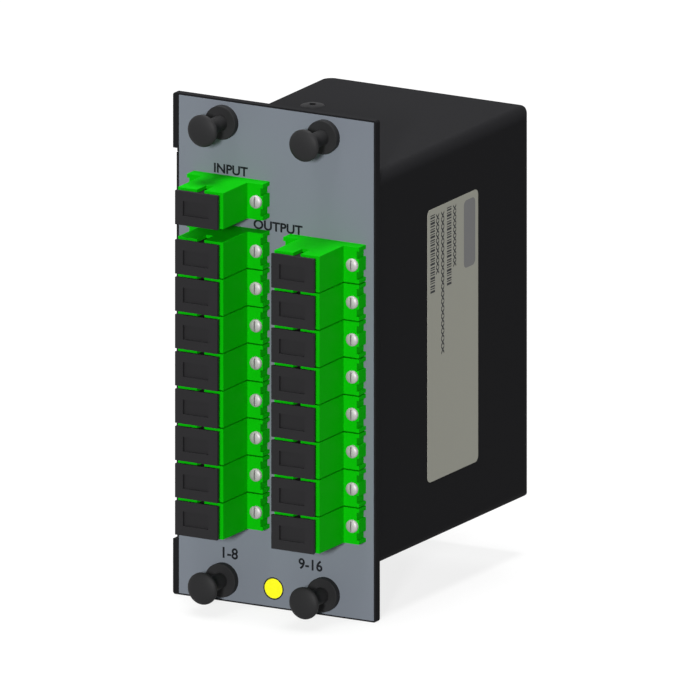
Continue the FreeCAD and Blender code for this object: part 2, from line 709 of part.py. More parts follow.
def make_plunger():
    """Latch plunger pulled out, the faceplate's back face on the local origin."""
    body = new_body("PlungerPattern")
    bead_front = size.chamber_start + size.stem_play * 2
    rim_back = OVERLAY_FRONT - size.collar_thick - size.stem_play * 2 - size.latch_travel
    rim_front = rim_back - size.head_rim
    crown = rim_front - size.head_dome
    tip = bead_front + size.bead_length
    outline = Outline(body, "PlungerOutline", "XY_Plane").corners([
        (0.0, rim_front), (size.head_radius, rim_front), (size.head_radius, rim_back),
        (size.stem_radius, rim_back), (size.stem_radius, bead_front), (size.bead_radius, bead_front),
        (size.bead_radius, tip - size.bead_length / 2), (size.tip_radius, tip), (0.0, tip)])
    spin(body, "PlungerTurned", outline)
    dome = body.newObject("PartDesign::AdditiveEllipsoid", "HeadDome")
    bind(dome, "Radius1", size.head_dome)
    bind(dome, "Radius2", size.head_radius)
    bind(dome, "Radius3", size.head_radius)
    dome.Placement = FreeCAD.Placement(
        FreeCAD.Vector(0, 0, 0), FreeCAD.Rotation(FreeCAD.Vector(1, 0, 0), 90))
    dome.Angle1 = 0.0
    bind_place(dome, 0.0, rim_front, 0.0)
    return body


def make_cover_screw():
    """Flat-head screw with a hexagon recess, the top of its head on the local origin."""
    body = new_body("CoverScrewPattern")
    outline = Outline(body, "CoverScrewOutline", "XZ_Plane").corners([
        (0.0, 0.0), (size.cover_screw_head, 0.0), (size.cover_screw_radius, -size.cover_screw_sink),
        (size.cover_screw_radius, -size.cover_screw_length), (0.0, -size.cover_screw_length)])
    spin(body, "CoverScrewTurned", outline)
    recess = Outline(body, "CoverScrewRecess", "XY_Plane")
    corners = []
    for step in range(6):
        angle = math.radians(60 * step)
        corners.append((size.cover_screw_recess * math.cos(angle), size.cover_screw_recess * math.sin(angle)))
    recess.corners(corners)
    pocket(body, "CoverScrewRecessCut", recess, size.cover_screw_sink)
    return body


def make_clip(name, width, thick, middle_y, middle_z):
    """Saddle over a clipped piece, standing on the left wall."""
    body = new_body(name)
    foot = LEFT + size.plate_thick
    inside = width / 2 + size.clip_play
    outside = inside + size.clip_wall
    under = foot + thick + size.clip_play * 2
    outline = Outline(body, name + "Outline", "XY_Plane").corners([
        (foot, middle_y - outside), (under + size.clip_wall, middle_y - outside),
        (under + size.clip_wall, middle_y + outside), (foot, middle_y + outside),
        (foot, middle_y + inside), (under, middle_y + inside),
        (under, middle_y - inside), (foot, middle_y - inside)])
    pad(body, name + "Saddle", outline, size.clip_length, both_ways=True)
    bind_place(body, 0.0, 0.0, middle_z)
    return body


def make_inside():
    """Splitter chip, the fibre coil round it and the clips that hold both on the left wall."""
    wall = LEFT + size.plate_thick + size.clip_play
    inner_back_wall = size.box_depth - size.plate_thick
    coil_reach = size.coil_radius + size.coil_flat / 2
    middle_y = inner_back_wall - size.coil_back_gap - coil_reach - size.coil_width / 2
    chip = new_body("Chip")
    case = Outline(chip, "ChipOutline", "YZ_Plane", wall).rectangle(
        middle_y - size.chip_width / 2, middle_y + size.chip_width / 2,
        -size.chip_length / 2, size.chip_length / 2)
    pad(chip, "ChipCase", case, size.chip_thick)
    inset = size.clip_wall / 2
    for name, side in (("Upper", 1), ("Lower", -1)):
        nose = Outline(chip, name + "ChipEndOutline", "YZ_Plane", wall + inset).rectangle(
            middle_y - size.chip_width / 2 + inset, middle_y + size.chip_width / 2 - inset,
            size.chip_length / 2 * side, (size.chip_length / 2 + size.chip_cap) * side)
        pad(chip, name + "ChipEnd", nose, size.chip_thick - inset * 2)
    keep(chip, "splitter_chip")

    coil = new_body("Coil")
    track = Outline(coil, "CoilOutline", "YZ_Plane", wall)
    for grow in (size.coil_width / 2, -size.coil_width / 2):
        reach = coil_reach + grow
        rise = size.coil_straight / 2 + size.coil_radius + grow
        track.rounded(middle_y - reach, middle_y + reach, -rise, rise, size.coil_radius + grow)
    pad(coil, "CoilBundle", track, size.coil_thick)
    keep(coil, "fibre_coil")

    chip_clips = []
    coil_clips = []
    for number, side in ((1, 1), (2, -1)):
        chip_clips.append(make_clip("ChipClip%d" % number, size.chip_width, size.chip_thick,
                                    middle_y, size.clip_spread / 2 * side))
        coil_clips.append(make_clip("CoilClip%d" % number, size.coil_width, size.coil_thick,
                                    middle_y + coil_reach * side, 0.0))
    keep(grouped("ChipClips", chip_clips), "chip_clips")
    keep(grouped("CoilClips", coil_clips), "coil_clips")


def make_ports():
    """Adapters, dust caps, flange screws, sleeves, inner plugs and boots at every port."""
    adapter = make_adapter()
    cap = make_cap()
    screw = make_flange_screw()
    sleeve = make_sleeve()
    plug = make_inner_plug()
    boot = make_boot()
    web_middle = (MOUTH + ADAPTER_BACK) / 2
    screws = []
    sleeves = []
    plugs = []
    boots = []
    for ending, x, z in port_places():
        tail = ending.replace("_", "").capitalize()
        keep(placed(adapter, "Adapter" + tail, x, OVERLAY_FRONT, z), "adapter_" + ending)
        keep(placed(cap, "Cap" + tail, x, MOUTH, z), "dust_cap_" + ending)
        for side_name, side in (("Left", -1), ("Right", 1)):
            screws.append(placed(screw, "Screw" + side_name + tail,
                                 x + size.screw_spacing / 2 * side, FLANGE_FRONT, z))
        sleeves.append(placed(sleeve, "Sleeve" + tail, x, web_middle, z))
        plugs.append(placed(plug, "Plug" + tail, x, ADAPTER_BACK, z))
        boots.append(placed(boot, "Boot" + tail, x, ADAPTER_BACK + size.plug_exposed, z))
    keep(grouped("FlangeScrews", screws), "adapter_screws")
    keep(grouped("Sleeves", sleeves), "alignment_sleeves")
    keep(grouped("InnerPlugs", plugs), "inner_plugs")
    keep(grouped("Boots", boots), "plug_boots")


def make_latches():
    grommet = make_grommet()
    plunger = make_plunger()
    for number, x, z in latch_places():
        keep(placed(grommet, "Grommet%d" % number, x, 0.0, z), "latch_grommet_%d" % number)
        keep(placed(plunger, "Plunger%d" % number, x, 0.0, z), "latch_plunger_%d" % number)


def make_cover_screws():
    pattern = make_cover_screw()
    screws = []
    for name, side in (("Top", 1), ("Bottom", -1)):
        screw = placed(pattern, "CoverScrew" + name, LEFT + size.cover_screw_inset, size.cover_screw_back,
                       (size.box_height / 2 - size.cover_screw_flush) * side)
        if side < 0:
            screw.Placement = FreeCAD.Placement(
                screw.Placement.Base, FreeCAD.Rotation(FreeCAD.Vector(1, 0, 0), 180))
        screws.append(screw)
    keep(grouped("CoverScrews", screws), "cover_screws")


def check_document():
    for thing in doc.Objects:
        if "Invalid" in thing.State or "Error" in thing.State:
            raise RuntimeError("failed object: " + thing.Name)
    for thing in subparts:
        if thing.Shape.isNull() or not thing.Shape.isValid():
            raise RuntimeError("bad shape: " + thing.Label)


def write_parts():
    os.makedirs("parts", exist_ok=True)
    for thing in subparts:
        thing.Shape.exportStep("parts/" + thing.Label + ".step")
        print(thing.Label, len(thing.Shape.Solids), round(thing.Shape.Volume, 3))


make_chassis()
make_cover()
make_overlay()
make_label()
make_ports()
make_latches()
make_cover_screws()
make_inside()
doc.recompute()
check_document()
write_parts()
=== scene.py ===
import math

import bmesh
import bpy
from bpy.props import FloatProperty, FloatVectorProperty, IntProperty, PointerProperty
from mathutils import Matrix, Vector


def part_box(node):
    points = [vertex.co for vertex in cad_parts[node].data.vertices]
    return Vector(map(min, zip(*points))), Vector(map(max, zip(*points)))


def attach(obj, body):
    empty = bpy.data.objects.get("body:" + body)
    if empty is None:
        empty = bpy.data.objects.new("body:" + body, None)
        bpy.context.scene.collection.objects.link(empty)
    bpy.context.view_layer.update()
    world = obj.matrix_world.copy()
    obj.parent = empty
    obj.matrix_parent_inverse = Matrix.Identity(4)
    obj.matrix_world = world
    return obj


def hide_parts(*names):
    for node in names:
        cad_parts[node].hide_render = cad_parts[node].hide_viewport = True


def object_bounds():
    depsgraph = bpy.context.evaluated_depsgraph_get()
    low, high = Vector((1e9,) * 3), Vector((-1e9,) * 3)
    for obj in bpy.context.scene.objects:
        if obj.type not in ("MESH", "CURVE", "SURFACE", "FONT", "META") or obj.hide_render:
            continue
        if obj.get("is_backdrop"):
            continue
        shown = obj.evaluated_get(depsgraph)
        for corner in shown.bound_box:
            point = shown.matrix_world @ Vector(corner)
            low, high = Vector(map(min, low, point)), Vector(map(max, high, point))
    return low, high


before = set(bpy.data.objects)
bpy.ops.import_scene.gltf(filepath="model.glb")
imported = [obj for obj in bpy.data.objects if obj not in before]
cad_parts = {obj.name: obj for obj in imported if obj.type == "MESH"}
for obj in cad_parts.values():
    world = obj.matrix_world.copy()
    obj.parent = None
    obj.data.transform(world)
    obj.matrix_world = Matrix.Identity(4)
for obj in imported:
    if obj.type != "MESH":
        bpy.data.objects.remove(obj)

bl_info = {
    "name": "Fibre Splitter Cassette",
    "version": (1, 0, 0),
    "blender": (4, 5, 0),
    "location": "View3D > Sidebar > Splitter",
    "description": "Dresses a fibre splitter cassette: sheet, printed face, ports, caps, screws, latches",
    "category": "Object",
}

MM = 0.001
HOUSING = "housing"
PORTS = ["in"] + ["out_%02d" % number for number in range(1, 17)]
LATCHES = range(1, 5)

# Half the thickness of printed ink, and the distance under which two points are one
INK = 0.01 * MM
WELD = 0.0001 * MM

# How much the outlines of figures, the port words and the label's rows are fattened
FIGURE_BOLD = 0.022
WORD_BOLD = 0.028
ROW_BOLD = 0.042

# Share of the broad drift in a finish's colour, share of its grain in the roughness, and the noise's own
DRIFT_IN_COLOUR = 0.6
GRAIN_IN_ROUGHNESS = 0.7
NOISE_ROUGHNESS = 0.55

# A cut has worked when this share of the form is left, from the least to the most
LEAST_LEFT = 0.5
MOST_LEFT = 0.9999

# Towards the viewer from the faceplate, and from the cover's right side
FACE_TURN = Matrix(((1, 0, 0), (0, 0, -1), (0, 1, 0))).to_4x4()
SIDE_TURN = Matrix(((0, 0, 1), (0, 1, 0), (-1, 0, 0))).to_4x4()


class Value:
    """A socket that carries numbers; the operators add Math nodes after it."""

    def __init__(self, tree, socket):
        self.tree = tree
        self.socket = socket

    def maths(self, operation, first, second):
        return self.tree.node("ShaderNodeMath", {"operation": operation}, {0: first, 1: second}).out()

    def __add__(self, other):
        return self.maths("ADD", self, other)

    def __radd__(self, other):
        return self.maths("ADD", other, self)

    def __mul__(self, other):
        return self.maths("MULTIPLY", self, other)

    def highest(self, other):
        return self.maths("MAXIMUM", self, other)


class Step:
    """One node of a tree."""

    def __init__(self, tree, node):
        self.tree = tree
        self.node = node

    def out(self, name=0):
        return Value(self.tree, self.node.outputs[name])


class Tree:
    """The nodes of one material or of the world."""

    def __init__(self, owner):
        owner.use_nodes = True
        self.nodes = owner.node_tree.nodes
        self.links = owner.node_tree.links
        self.nodes.clear()

    def node(self, kind, settings=None, inputs=None):
        """A node of that type; its settings come first, then the values or links of its sockets."""
        made = self.nodes.new(kind)
        for name, setting in (settings or {}).items():
            setattr(made, name, setting)
        for name, given in (inputs or {}).items():
            if isinstance(given, Value):
                self.links.new(given.socket, made.inputs[name])
            else:
                made.inputs[name].default_value = given
        return Step(self, made)

    def place(self):
        return self.node("ShaderNodeTexCoord").out("Object")

    def noise(self, size_mm, detail, stretch=None):
        """Soft mottling whose patches measure about size_mm."""
        where = self.place()
        if stretch:
            where = self.node("ShaderNodeMapping", {"vector_type": "POINT"}, {
                "Vector": where, "Scale": stretch}).out()
        return self.node("ShaderNodeTexNoise", {}, {
            "Vector": where, "Scale": 1.0 / (size_mm * MM), "Detail": detail,
            "Roughness": NOISE_ROUGHNESS}).out(0)

    def blend(self, share, first, second):
        """A colour between two colours."""
        return self.node("ShaderNodeMix", {"data_type": "RGBA"}, {0: share, 6: first, 7: second}).out(2)

    def bump(self, height, depth_mm, strength):
        return self.node("ShaderNodeBump", {}, {
            "Height": height, "Distance": depth_mm * MM, "Strength": strength}).out()


def solid(colour):
    """A colour with its alpha."""
    return tuple(colour[:3]) + (1.0,)


def shaded(colour, factor):
    """A colour made darker or lighter, with its alpha."""
    return tuple(part * factor for part in colour[:3]) + (1.0,)


def finish_with(name, colours, *, roughness, grain_mm, mottle_mm, depth_mm, specular,
                metallic=0.0, stretch=None, bump=0.4):
    """A finish that drifts between two colours and two roughnesses and has a fine grain."""
    material = bpy.data.materials.new(name)
    tree = Tree(material)
    drift = tree.noise(mottle_mm, detail=2.0)
    fine = tree.noise(grain_mm, detail=4.0, stretch=stretch)
    share = drift * DRIFT_IN_COLOUR + fine * (1.0 - DRIFT_IN_COLOUR)
    colour = tree.blend(share, solid(colours[0]), solid(colours[1]))
    share = fine * GRAIN_IN_ROUGHNESS + drift * (1.0 - GRAIN_IN_ROUGHNESS)
    dull = roughness[0] + share * (roughness[1] - roughness[0])
    shader = tree.node("ShaderNodeBsdfPrincipled", {}, {
        "Base Color": colour, "Roughness": dull, "Metallic": metallic,
        "Specular IOR Level": specular, "Normal": tree.bump(fine, depth_mm, bump)})
    tree.node("ShaderNodeOutputMaterial", {}, {"Surface": shader.out()})
    material.diffuse_color = solid(colours[0])
    return material


def spread(colour, amount):
    """A darker and a lighter colour on each side of one."""
    return shaded(colour, 1.0 - amount), shaded(colour, 1.0 + amount)


def coat(material, *nodes):
    """Give kept nodes of the frame one material all over."""
    for name in nodes:
        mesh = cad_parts[name].data
        mesh.materials.clear()
        mesh.materials.append(material)


def object_from(form, name, material, body=HOUSING):
    """Turn a bmesh that is already in place into an object that rides on a body."""
    mesh = bpy.data.meshes.new(name)
    form.to_mesh(mesh)
    form.free()
    mesh.materials.append(material)
    made = bpy.data.objects.new(name, mesh)
    bpy.context.scene.collection.objects.link(made)
    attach(made, body)
    return made


def add_words(form, words, height, turn, corner, right_edge=False, width=None, bold=FIGURE_BOLD):
    """Flat letters whose capitals are that high.

    The corner is their lower left end on the surface, or their lower right end with right_edge.
    """
    curve = bpy.data.curves.new("words", "FONT")
    curve.body = words
    curve.extrude = 1.0
    curve.offset = bold
    holder = bpy.data.objects.new("words", curve)
    bpy.context.scene.collection.objects.link(holder)
    bpy.context.view_layer.update()
    drawn = holder.evaluated_get(bpy.context.evaluated_depsgraph_get())
    mesh = bpy.data.meshes.new_from_object(drawn)
    low = [min(point.co[axis] for point in mesh.vertices) for axis in (0, 1)]
    high = [max(point.co[axis] for point in mesh.vertices) for axis in (0, 1)]
    grow = height / (high[1] - low[1])
    across = grow if width is None else width / (high[0] - low[0])
    shift = -high[0] if right_edge else -low[0]
    mesh.transform(Matrix.Translation((shift, -low[1], 0.0)))
    mesh.transform(Matrix.Diagonal((across, grow, INK, 1.0)))
    mesh.transform(Matrix.Translation(corner) @ turn)
    letters = bmesh.new()
    letters.from_mesh(mesh)
    bmesh.ops.remove_doubles(letters, verts=letters.verts, dist=WELD)
    bmesh.ops.recalc_face_normals(letters, faces=letters.faces)
    joined = bpy.data.meshes.new("joined")
    letters.to_mesh(joined)
    letters.free()
    form.from_mesh(joined)
    for unused in (mesh, joined):
        bpy.data.meshes.remove(unused)
    bpy.data.objects.remove(holder)
    bpy.data.curves.remove(curve)


def add_patch(form, low, high, round_mm=0.0):
    """A box between two corners; round_mm rounds the edges that run through its thin side."""
    made = bmesh.ops.create_cube(form, size=1.0)
    middle = [(a + b) / 2 for a, b in zip(low, high)]
    spans = [b - a for a, b in zip(low, high)]
    bmesh.ops.scale(form, vec=spans, verts=made["verts"])
    bmesh.ops.translate(form, vec=middle, verts=made["verts"])
    if round_mm:
        thin = spans.index(min(spans))
        edges = [edge for point in made["verts"] for edge in point.link_edges
                 if abs((edge.verts[0].co - edge.verts[1].co)[thin]) > 0.5 * spans[thin]]
        bmesh.ops.bevel(form, geom=list(set(edges)), offset=round_mm * MM, offset_type="OFFSET",
                        segments=6, profile=0.5, affect="EDGES", material=-1)


def cut_from(blank, cutter, name):
    """The mesh that is left of one bmesh once another is cut from it."""
    whole = blank.calc_volume()
    holders = []
    for form in (blank, cutter):
        mesh = bpy.data.meshes.new(name)
        form.to_mesh(mesh)
        form.free()
        holders.append(bpy.data.objects.new(name, mesh))
        bpy.context.scene.collection.objects.link(holders[-1])
    cut = holders[0].modifiers.new("Cut", "BOOLEAN")
    cut.operation = "DIFFERENCE"
    cut.solver = "EXACT"
    cut.object = holders[1]
    bpy.context.view_layer.update()
    drawn = holders[0].evaluated_get(bpy.context.evaluated_depsgraph_get())
    left = bpy.data.meshes.new_from_object(drawn)
    check = bmesh.new()
    check.from_mesh(left)
    rest = check.calc_volume()
    check.free()
    if not LEAST_LEFT * whole < rest < MOST_LEFT * whole:
        raise RuntimeError("the cut failed on " + name)
    for holder in holders:
        mesh = holder.data
        bpy.data.objects.remove(holder)
        bpy.data.meshes.remove(mesh)
    return left


def turned(profile, axis, sides):
    """A closed form turned from a profile of points that starts and ends on the axis."""
    form = bmesh.new()
    points = [form.verts.new(point) for point in profile]
    edges = [form.edges.new(pair) for pair in zip(points, points[1:])]
    bmesh.ops.spin(form, geom=points + edges, cent=(0, 0, 0), axis=axis, angle=math.tau,
                   steps=sides, use_merge=True, use_duplicate=False)
    bmesh.ops.remove_doubles(form, verts=form.verts, dist=WELD)
    bmesh.ops.recalc_face_normals(form, faces=form.faces)
    return form


def add_copy(form, mesh, place, turn=None):
    """Add a copy of a mesh to a bmesh, turned and then moved."""
    again = mesh.copy()
    if turn:
        again.transform(turn)
    again.transform(Matrix.Translation(place))
    form.from_mesh(again)
    bpy.data.meshes.remove(again)


def smooth(thing, degrees=35):
    """Smooth shading, except over edges sharper than that."""
    for face in thing.data.polygons:
        face.use_smooth = True
    thing.data.set_sharp_from_angle(angle=math.radians(degrees))


class SplitterSheetSettings(bpy.types.PropertyGroup):
    coat_colour: FloatVectorProperty(
        name="Coat", description="Powder coat on the folded sheets",
        subtype="COLOR", size=3, min=0, max=1, default=(0.0125, 0.0125, 0.0136))
    coat_grain: FloatProperty(
        name="Coat Grain", description="Size of the coat's pebbles in millimetres", default=0.55, min=0.1)
    film_colour: FloatVectorProperty(
        name="Face Film", description="Printed film on the faceplate",
        subtype="COLOR", size=3, min=0, max=1, default=(0.166, 0.185, 0.215))
    screw_crown: FloatProperty(
        name="Cover Screw Crown", description="Height of a cover screw's raised head",
        unit="LENGTH", default=0.45 * MM, min=0.0)
    sticker_colour: FloatVectorProperty(
        name="Sticker", description="Film of the side label",
        subtype="COLOR", size=3, min=0, max=1, default=(0.366, 0.366, 0.316))


class SplitterPrintSettings(bpy.types.PropertyGroup):
    ink_colour: FloatVectorProperty(
        name="Ink", description="Lettering on the faceplate and the label",
        subtype="COLOR", size=3, min=0, max=1, default=(0.009, 0.01, 0.012))
    letter_height: FloatProperty(
        name="Letter Height", description="Height of the capitals on the faceplate",
        unit="LENGTH", default=2.5 * MM, min=0.0001)
    range_height: FloatProperty(
        name="Range Height", description="Height of the figures under the ports",
        unit="LENGTH", default=2.9 * MM, min=0.0001)
    dot_radius: FloatProperty(
        name="Dot Radius", description="Round mark under the ports",
        unit="LENGTH", default=2.9 * MM, min=0.0001)
    dot_colour: FloatVectorProperty(
        name="Dot", description="Round mark under the ports",
        subtype="COLOR", size=3, min=0, max=1, default=(0.93, 0.9, 0.012))
    block_colour: FloatVectorProperty(
        name="Label Block", description="Plain block on the side label",
        subtype="COLOR", size=3, min=0, max=1, default=(0.17, 0.17, 0.172))


class SplitterPortSettings(bpy.types.PropertyGroup):
    adapter_colour: FloatVectorProperty(
        name="Adapter", description="Moulded adapters",
        subtype="COLOR", size=3, min=0, max=1, default=(0.0012, 0.405, 0.0008))
    cap_colour: FloatVectorProperty(
        name="Cap", description="Dust caps", subtype="COLOR", size=3, min=0, max=1,
        default=(0.0205, 0.020, 0.0213))
    cap_height: FloatProperty(
        name="Cap Height", description="Dust cap's face plate, bottom to top",
        unit="LENGTH", default=8.85 * MM, min=0.001)
    cap_edge: FloatProperty(
        name="Cap Edge", description="Rounding of a dust cap's edges",
        unit="LENGTH", default=0.07 * MM, min=0.0)
    recess_inset: FloatProperty(
        name="Recess Inset", description="Recess in a dust cap's face from the face's left edge",
        unit="LENGTH", default=2.3 * MM, min=0.001)
    recess_width: FloatProperty(
        name="Recess Width", description="Recess in a dust cap's face, across",
        unit="LENGTH", default=7.35 * MM, min=0.001)
    recess_height: FloatProperty(
        name="Recess Height", description="Recess in a dust cap's face, bottom to top",
        unit="LENGTH", default=3.85 * MM, min=0.001)
    screw_colour: FloatVectorProperty(
        name="Screw", description="Flange screws", subtype="COLOR", size=3, min=0, max=1,
        default=(0.41, 0.39, 0.395))
    screw_crown: FloatProperty(
        name="Screw Crown", description="Height of the screw's dome above its rim",
        unit="LENGTH", default=0.6 * MM, min=0.0)
    screw_slot: FloatProperty(
        name="Screw Slot", description="Width of the slot in a flange screw",
        unit="LENGTH", default=0.4 * MM, min=0.0)
    slot_depth: FloatProperty(
        name="Slot Depth", description="Depth of that slot below the crown",
        unit="LENGTH", default=0.8 * MM, min=0.0)
    screw_sides: IntProperty(
        name="Screw Sides", description="Facets round a flange screw", default=28, min=8)


class SplitterLatchSettings(bpy.types.PropertyGroup):
    latch_colour: FloatVectorProperty(
        name="Latch", description="Push latches", subtype="COLOR", size=3, min=0, max=1,
        default=(0.0185, 0.0185, 0.0193))


class SplitterStageSettings(bpy.types.PropertyGroup):
    azimuth: FloatProperty(
        name="Azimuth", description="Camera to the right of the faceplate",
        subtype="ANGLE", default=math.radians(29.44))
    elevation: FloatProperty(
        name="Elevation", description="Camera above the horizon",
        subtype="ANGLE", default=math.radians(14.85))
    view_width: FloatProperty(
        name="View Width", description="Width of the square view",
        unit="LENGTH", default=175.37 * MM, min=0.001)
    look_at: FloatVectorProperty(
        name="Look At", description="Point in the middle of the view",
        subtype="TRANSLATION", size=3, default=(20.60 * MM, 0.0, 4.16 * MM))
    front_light: FloatProperty(
        name="Front Light", description="Lamp that faces the ports", default=3.2, min=0)
    top_light: FloatProperty(
        name="Top Light", description="Lamp above the cassette", default=3.5, min=0)
    back_light: FloatProperty(
        name="Back Light", description="Lamp behind the cassette, on its left", default=1.6, min=0)
    surround: FloatProperty(name="Surround", description="Light from all round", default=0.09, min=0)
    floor_colour: FloatVectorProperty(
        name="Floor", description="Floor as the camera sees it",
        subtype="COLOR", size=3, min=0, max=1, default=(0.86, 0.86, 0.86))
    floor_glow: FloatProperty(
        name="Floor Glow", description="Share of plain white in the floor as the camera sees it",
        default=0.82, min=0, max=1)


class SplitterSettings(bpy.types.PropertyGroup):
    sheet: PointerProperty(type=SplitterSheetSettings, name="Sheet", description="Folded sheets and films")
    prints: PointerProperty(type=SplitterPrintSettings, name="Prints", description="Lettering and marks")
    port: PointerProperty(type=SplitterPortSettings, name="Ports", description="Adapters, caps and screws")
    latch: PointerProperty(type=SplitterLatchSettings, name="Latches", description="Push latches")
    stage: PointerProperty(type=SplitterStageSettings, name="Stage", description="Camera, lamps and floor")


def settings():
    return bpy.context.scene.splitter


class SPLITTER_OT_coat_housing(bpy.types.Operator):
    """Powder coat the chassis and the cover"""
    bl_idname = "splitter.coat_housing"
    bl_label = "Coat Housing"

    def execute(self, context):
        sheet = settings().sheet
        powder = finish_with(
            "black_powder_coat", spread(sheet.coat_colour, amount=0.1), roughness=(0.62, 0.74),
            grain_mm=sheet.coat_grain, mottle_mm=14.0, depth_mm=0.02, specular=0.015, bump=0.35)
        coat(powder, "chassis", "cover")
        return {"FINISHED"}


class SPLITTER_OT_turn_cover_screws(bpy.types.Operator):
    """Turn the raised countersunk screws that hold the cover, with their hexagon recess"""
    bl_idname = "splitter.turn_cover_screws"
    bl_label = "Turn Cover Screws"

    def execute(self, context):
        sheet = settings().sheet
        low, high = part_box("cover_screws")
        head = (high.x - low.x) / 2
        shank = 1.5 * MM
        cone_depth = 1.25 * MM
        length = 5.0 * MM
        sides = 36
        hexagon = 1.0 * MM
        hexagon_depth = 1.2 * MM
        steps = 6
        angles = [math.radians(90 * step / steps) for step in range(1, steps + 1)]
        arc = [(head * math.sin(angle), 0.0, sheet.screw_crown * math.cos(angle)) for angle in angles]
        profile = [(0.0, 0.0, sheet.screw_crown)] + arc
        profile += [(shank, 0.0, -cone_depth), (shank, 0.0, -length), (0.0, 0.0, -length)]
        recess = bmesh.new()
        bmesh.ops.create_cone(recess, cap_ends=True, segments=6, radius1=hexagon, radius2=hexagon,
                              depth=hexagon_depth * 2)
        screw = cut_from(turned(profile, (0, 0, 1), sides), recess, "cover_screw")
        pair = bmesh.new()
        middle = ((low.x + high.x) / 2, (low.y + high.y) / 2)
        add_copy(pair, screw, (*middle, high.z))
        add_copy(pair, screw, (*middle, low.z), Matrix.Rotation(math.pi, 4, "X"))
        oxide = finish_with(
            "black_screw_finish", spread(sheet.coat_colour, amount=0.15), roughness=(0.5, 0.62),
            grain_mm=0.3, mottle_mm=2.0, depth_mm=0.008, specular=0.06)
        screws = object_from(pair, "raised_cover_screws", oxide)
        smooth(screws)
        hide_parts("cover_screws")
        return {"FINISHED"}


class SPLITTER_OT_print_face(bpy.types.Operator):
    """Finish the film on the faceplate and print its port names and round mark"""
    bl_idname = "splitter.print_face"
    bl_label = "Print Face"

    def execute(self, context):
        prints = settings().prints
        film = finish_with(
            "grey_face_film", spread(settings().sheet.film_colour, amount=0.03),
            roughness=(0.55, 0.66), grain_mm=0.25, mottle_mm=18.0, depth_mm=0.006, specular=0.1)
        coat(film, "face_overlay")
        ink = finish_with(
            "face_ink", spread(prints.ink_colour, amount=0.15), roughness=(0.45, 0.6), grain_mm=0.2,
            mottle_mm=4.0, depth_mm=0.004, specular=0.06)
        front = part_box("face_overlay")[0].y
        words = bmesh.new()
        height = prints.letter_height
        input_corner = (-17.3 * MM, front, 45.8 * MM)
        input_width = 9.75 * MM
        output_corner = (-5.9 * MM, front, 32.7 * MM)
        output_width = 14.1 * MM
        ranges_level = -53.8 * MM
        first_range = (-14.8 * MM, front, ranges_level)
        second_range = (13.9 * MM, front, ranges_level)
        add_words(words, "INPUT", height, FACE_TURN, input_corner, width=input_width, bold=WORD_BOLD)
        add_words(words, "OUTPUT", height, FACE_TURN, output_corner, width=output_width, bold=WORD_BOLD)
        add_words(words, "1-8", prints.range_height, FACE_TURN, first_range)
        add_words(words, "9-16", prints.range_height, FACE_TURN, second_range, right_edge=True)
        object_from(words, "face_lettering", ink)

        # The mark's ring is a dark disc, and the coloured disc lies over it
        centre = (-0.16 * MM, front, -59.86 * MM)
        ring = 0.35 * MM
        ring_ink = 0.010 * MM
        disc_ink = 0.018 * MM
        sides = 48
        for name, radius, raised, colour in (
                ("face_mark_ring", prints.dot_radius, ring_ink, prints.ink_colour),
                ("face_mark", prints.dot_radius - ring, disc_ink, prints.dot_colour)):
            mark = bmesh.new()
            bmesh.ops.create_cone(mark, cap_ends=True, segments=sides, radius1=radius, radius2=radius,
                                  depth=raised * 2)
            bmesh.ops.transform(mark, matrix=Matrix.Translation(centre) @ FACE_TURN, verts=mark.verts)
            printed = finish_with(
                name + "_ink", spread(colour, amount=0.03), roughness=(0.45, 0.55), grain_mm=0.2,
                mottle_mm=3.0, depth_mm=0.004, specular=0.2)
            object_from(mark, name, printed)
        return {"FINISHED"}


class SPLITTER_OT_print_label(bpy.types.Operator):
    """Finish the sticker on the cover's side and print plain rows, bars and a block on it"""
    bl_idname = "splitter.print_label"
    bl_label = "Print Label"

    def execute(self, context):
        prints = settings().prints
        sticker = finish_with(
            "sticker_film", spread(settings().sheet.sticker_colour, amount=0.025),
            roughness=(0.5, 0.6), grain_mm=0.3, mottle_mm=20.0, depth_mm=0.004, specular=0.08,
            stretch=(1.0, 1.0, 0.05))
        coat(sticker, "side_label")
        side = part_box("side_label")[1].x
        ink = finish_with(
            "label_ink", spread(prints.ink_colour, amount=0.15), roughness=(0.45, 0.6),
            grain_mm=0.2, mottle_mm=4.0, depth_mm=0.004, specular=0.2)
        work = bmesh.new()

        # Rows of one letter: baseline, upper end, number of letters and length, in millimetres
        letter_height = 1.5 * MM
        for baseline, top, count, length in ((28.5, 34.0, 9, 15.9), (31.1, 34.05, 19, 37.2),
                                             (37.2, 34.3, 10, 16.2)):
            add_words(work, "X" * count, letter_height, SIDE_TURN, (side, baseline * MM, top * MM),
                      width=length * MM, bold=ROW_BOLD)

        # Two strips of plain bars: near and far edge and upper end, in millimetres
        strip_end = 14.2
        bars = (0.26, 0.44, 0.26, 0.6, 0.36)
        gaps = (0.26, 0.4, 0.24, 0.3, 0.46, 0.26, 0.34)
        for near, far, top in ((25.6, 27.9, 34.1), (34.0, 36.3, 34.3)):
            here = top
            turn = 0
            while here > strip_end:
                bar = bars[turn % len(bars)]
                add_patch(work, (side - INK, near * MM, (here - bar) * MM),
                          (side + INK, far * MM, here * MM))
                here -= bar + gaps[turn % len(gaps)]
                turn += 1
        object_from(work, "label_print", ink)

        block = bmesh.new()
        block_low = (side - INK, 42.6 * MM, 16.5 * MM)
        block_high = (side + INK, 48.4 * MM, 34.0 * MM)
        add_patch(block, block_low, block_high, round_mm=1.4)
        grey = finish_with(
            "label_block_ink", spread(prints.block_colour, amount=0.05), roughness=(0.45, 0.55),
            grain_mm=0.3, mottle_mm=5.0, depth_mm=0.004, specular=0.2)
        object_from(block, "label_block", grey)
        return {"FINISHED"}


